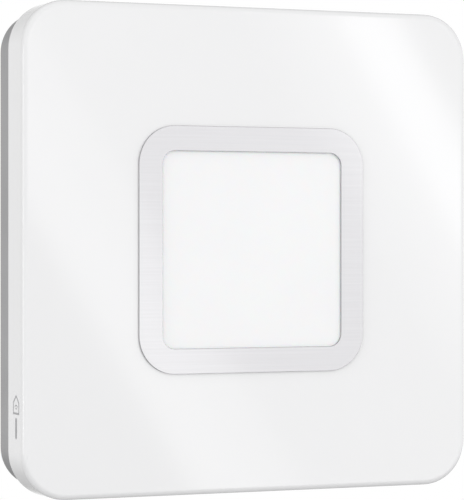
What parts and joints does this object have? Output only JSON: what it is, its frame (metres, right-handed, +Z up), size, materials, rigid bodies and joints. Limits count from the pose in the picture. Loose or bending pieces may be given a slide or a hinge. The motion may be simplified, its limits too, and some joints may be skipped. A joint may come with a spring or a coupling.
{
  "type": "smart home hub",
  "caption": "Square wall-mounted smart home hub: gloss cover with a metal ring round a lit opal window, on a shallow metal base that holds the light, mains supply, radio and sensor boards.",
  "frame": {"origin": "centre of the back, on the wall plane", "axes": "+X to the right and +Z up as seen from the room, +Y into the wall"},
  "size_m": [0.3, 0.0545, 0.3],
  "materials": {
    "base_metal": "satin metallic grey lacquer on pressed sheet",
    "tray_white": "matt white powder coat",
    "foam_dark": "closed-cell foam",
    "rubber_grey": "soft moulded rubber",
    "label_silver": "blank metallised film",
    "spring_steel": "bright spring strip",
    "rivet_metal": "bright drawn",
    "screw_zinc": "bright zinc plate",
    "board_green": "solder resist on glass laminate",
    "board_blue": "solder resist on glass laminate",
    "pillar_brass": "bright turned",
    "pad_grey": "silicone gap pad",
    "led_board_white": "white solder resist on aluminium",
    "phosphor": "silicone dome",
    "reflector_white": "matt diffuse white",
    "terminal_grey": "fine texture",
    "contact_tin": "tin plate",
    "lever_orange": "moulded",
    "ferrite": "ground ferrite",
    "winding_tape": "polyester tape over the winding",
    "can_metal": "sleeved can",
    "filter_blue": "coated",
    "fuse_glass": "clear tube with plated caps",
    "varistor_blue": "dipped coating",
    "relay_black": "moulded",
    "guard_clear": "clear moulded guard",
    "shield_tin": "tin-plated can",
    "chip_black": "moulded epoxy",
    "holder_black": "moulded",
    "cell_steel": "stainless can",
    "dial_white": "moulded",
    "dial_body_blue": "moulded",
    "button_white": "moulded",
    "lamp_clear": "tinted lens",
    "inductor_grey": "moulded ferrite",
    "patch_gold": "gold flash on copper",
    "connector_white": "moulded",
    "lead_green": "insulated wire",
    "lead_red": "insulated wire",
    "lead_grey": "insulated wire",
    "cover_white": "high-gloss moulded white",
    "window_opal": "opal diffusing sheet, fine matt face",
    "frame_white": "moulded",
    "ring_silver": "horizontally brushed, clear anodised",
    "tape_clear": "acrylic foam"
  },
  "bodies": {
    "base": {"base_rim": "base_metal", "base_back": "base_metal", "wall_seal": "foam_dark", "cable_grommet": "rubber_grey", "rating_label": "label_silver", "cover_springs": "spring_steel", "spring_rivets": "rivet_metal", "cover_seal": "foam_dark", "gear_tray": "tray_white", "chassis_screws": "screw_zinc", "supply_board": "board_green", "control_board": "board_green", "driver_board": "board_green", "sensor_board": "board_blue", "board_standoffs": "pillar_brass", "board_screws": "screw_zinc", "thermal_pad": "pad_grey", "led_board": "led_board_white", "led_packages": "phosphor", "reflector_frame": "reflector_white", "reflector_screws": "screw_zinc", "terminal_block": "terminal_grey", "terminal_clamps": "contact_tin", "transformer_core": "ferrite", "transformer_winding": "winding_tape", "electrolytic_capacitors": "can_metal", "mains_filter": "filter_blue", "mains_fuse": "fuse_glass", "surge_varistor": "varistor_blue", "load_relay": "relay_black", "supply_shield": "guard_clear", "processor_shield": "shield_tin", "radio_shields": "shield_tin", "stamped_antennas": "shield_tin", "board_chips": "chip_black", "cell_holder": "holder_black", "clock_cell": "cell_steel", "dial_bodies": "dial_body_blue", "button_switch": "holder_black", "status_led": "lamp_clear", "driver_inductor": "inductor_grey", "sensor_patches": "patch_gold", "board_connectors": "connector_white", "earth_lead": "lead_green", "power_leads": "lead_red", "data_leads": "lead_grey"},
    "front_cover": {"cover_shell": "cover_white", "window_diffuser": "window_opal", "diffuser_frame": "frame_white", "diffuser_screws": "screw_zinc", "trim_ring": "ring_silver", "ring_tape": "tape_clear"},
    "lever_line": {"lever_line": "lever_orange"},
    "lever_output": {"lever_output": "lever_orange"},
    "lever_neutral": {"lever_neutral": "lever_orange"},
    "lever_earth": {"lever_earth": "lever_orange"},
    "dial_range": {"dial_range": "dial_white"},
    "dial_time": {"dial_time": "dial_white"},
    "dial_light": {"dial_light": "dial_white"},
    "pair_button": {"pair_button": "button_white"}
  },
  "joints": [
    {"name": "cover_pull", "type": "slide", "parent": "base", "child": "front_cover", "axis": [0, -1, 0], "range_m": [0, 0.06]},
    {"name": "lever_line_lift", "type": "hinge", "parent": "base", "child": "lever_line", "pos_m": [-0.038, -0.0324, 0.1146], "axis": [0, 0, 1], "range_deg": [0, 90]},
    {"name": "lever_output_lift", "type": "hinge", "parent": "base", "child": "lever_output", "pos_m": [-0.038, -0.0324, 0.1062], "axis": [0, 0, 1], "range_deg": [0, 90]},
    {"name": "lever_neutral_lift", "type": "hinge", "parent": "base", "child": "lever_neutral", "pos_m": [-0.038, -0.0324, 0.0978], "axis": [0, 0, 1], "range_deg": [0, 90]},
    {"name": "lever_earth_lift", "type": "hinge", "parent": "base", "child": "lever_earth", "pos_m": [-0.038, -0.0324, 0.0894], "axis": [0, 0, 1], "range_deg": [0, 90]},
    {"name": "dial_range_turn", "type": "hinge", "parent": "base", "child": "dial_range", "pos_m": [-0.082, -0.0301, -0.094], "axis": [0, -1, 0], "range_deg": [-135, 135]},
    {"name": "dial_time_turn", "type": "hinge", "parent": "base", "child": "dial_time", "pos_m": [-0.064, -0.0301, -0.094], "axis": [0, -1, 0], "range_deg": [-135, 135]},
    {"name": "dial_light_turn", "type": "hinge", "parent": "base", "child": "dial_light", "pos_m": [-0.046, -0.0301, -0.094], "axis": [0, -1, 0], "range_deg": [-135, 135]},
    {"name": "pair_button_press", "type": "slide", "parent": "base", "child": "pair_button", "axis": [0, 1, 0], "range_m": [0, 0.0005], "stiffness_N_per_m": 1500, "springref_m": -0.0005}
  ]
}
